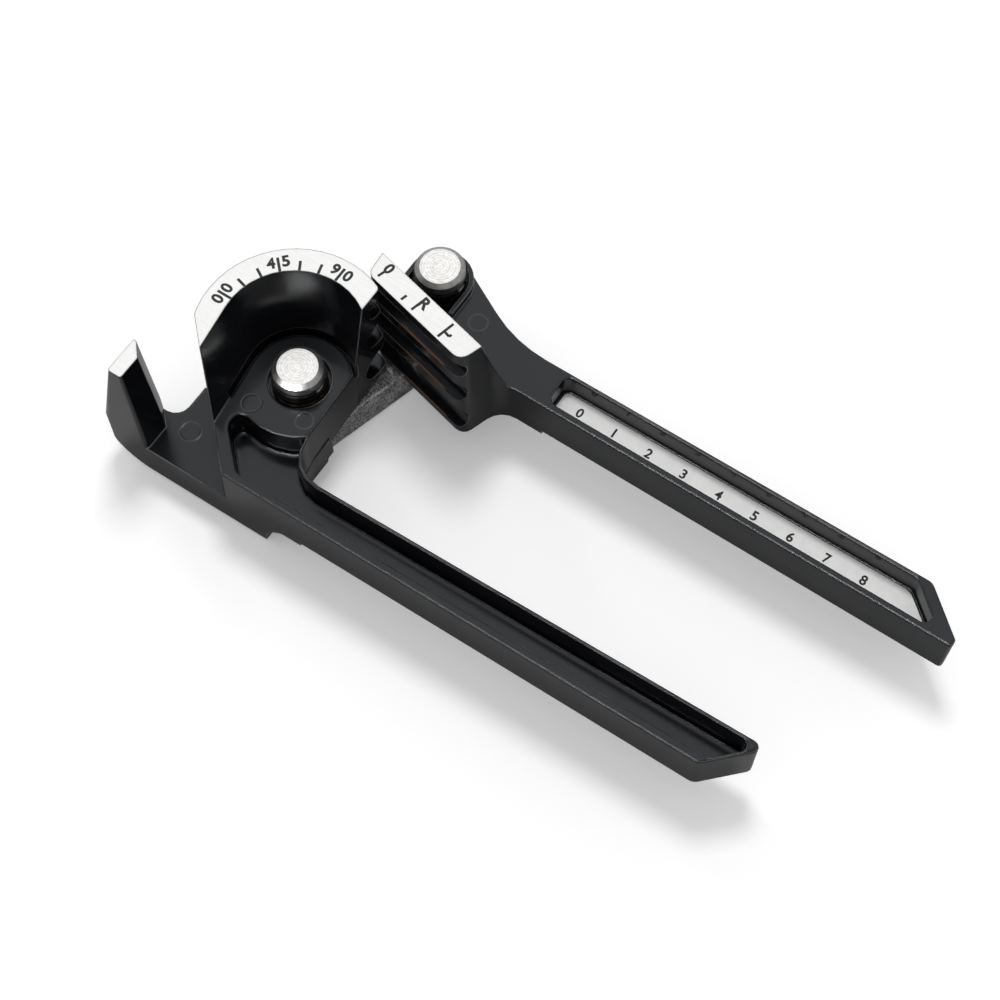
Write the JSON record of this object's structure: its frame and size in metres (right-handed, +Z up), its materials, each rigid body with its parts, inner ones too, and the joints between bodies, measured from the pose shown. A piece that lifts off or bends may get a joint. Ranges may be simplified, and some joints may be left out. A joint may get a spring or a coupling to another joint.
{
  "type": "tube bender",
  "caption": "Hand tube bender: a grooved forming lever with a hook and a grooved shoe lever, joined by a link bar on pivot pins with retaining rings.",
  "frame": {"origin": "centre of the forming lever's pivot pin at its lower end, level with the link bar's underside", "axes": "+X along both levers towards their free ends, +Y from the forming lever towards the shoe lever, +Z up along the pivot pins towards the dial"},
  "size_m": [0.2035, 0.0825, 0.0478],
  "materials": {
    "casting_paint": "gloss black paint on a die casting",
    "link_metal": "dark, finely grained",
    "pin_steel": "turned, bright",
    "washer_metal": "dark bronze",
    "ring_steel": "black oxide"
  },
  "bodies": {
    "forming_lever": {"forming_handle": "casting_paint"},
    "link": {"link_bar": "link_metal", "main_pin": "pin_steel", "main_washer": "washer_metal", "main_spring_washer": "ring_steel", "main_retaining_ring": "ring_steel", "shoe_pin": "pin_steel", "shoe_washer": "washer_metal", "shoe_spring_washer": "ring_steel", "shoe_retaining_ring": "ring_steel"},
    "shoe_lever": {"shoe_handle": "casting_paint"}
  },
  "joints": [
    {"name": "link_swing", "type": "hinge", "parent": "forming_lever", "child": "link", "pos_m": [0, 0, 0.0104], "axis": [0, 0, 1], "range_deg": [-8, 106]},
    {"name": "shoe_swing", "type": "hinge", "parent": "link", "child": "shoe_lever", "pos_m": [0.01255, 0.04264, 0.0104], "axis": [0, 0, 1], "range_deg": [-5, 150]}
  ]
}
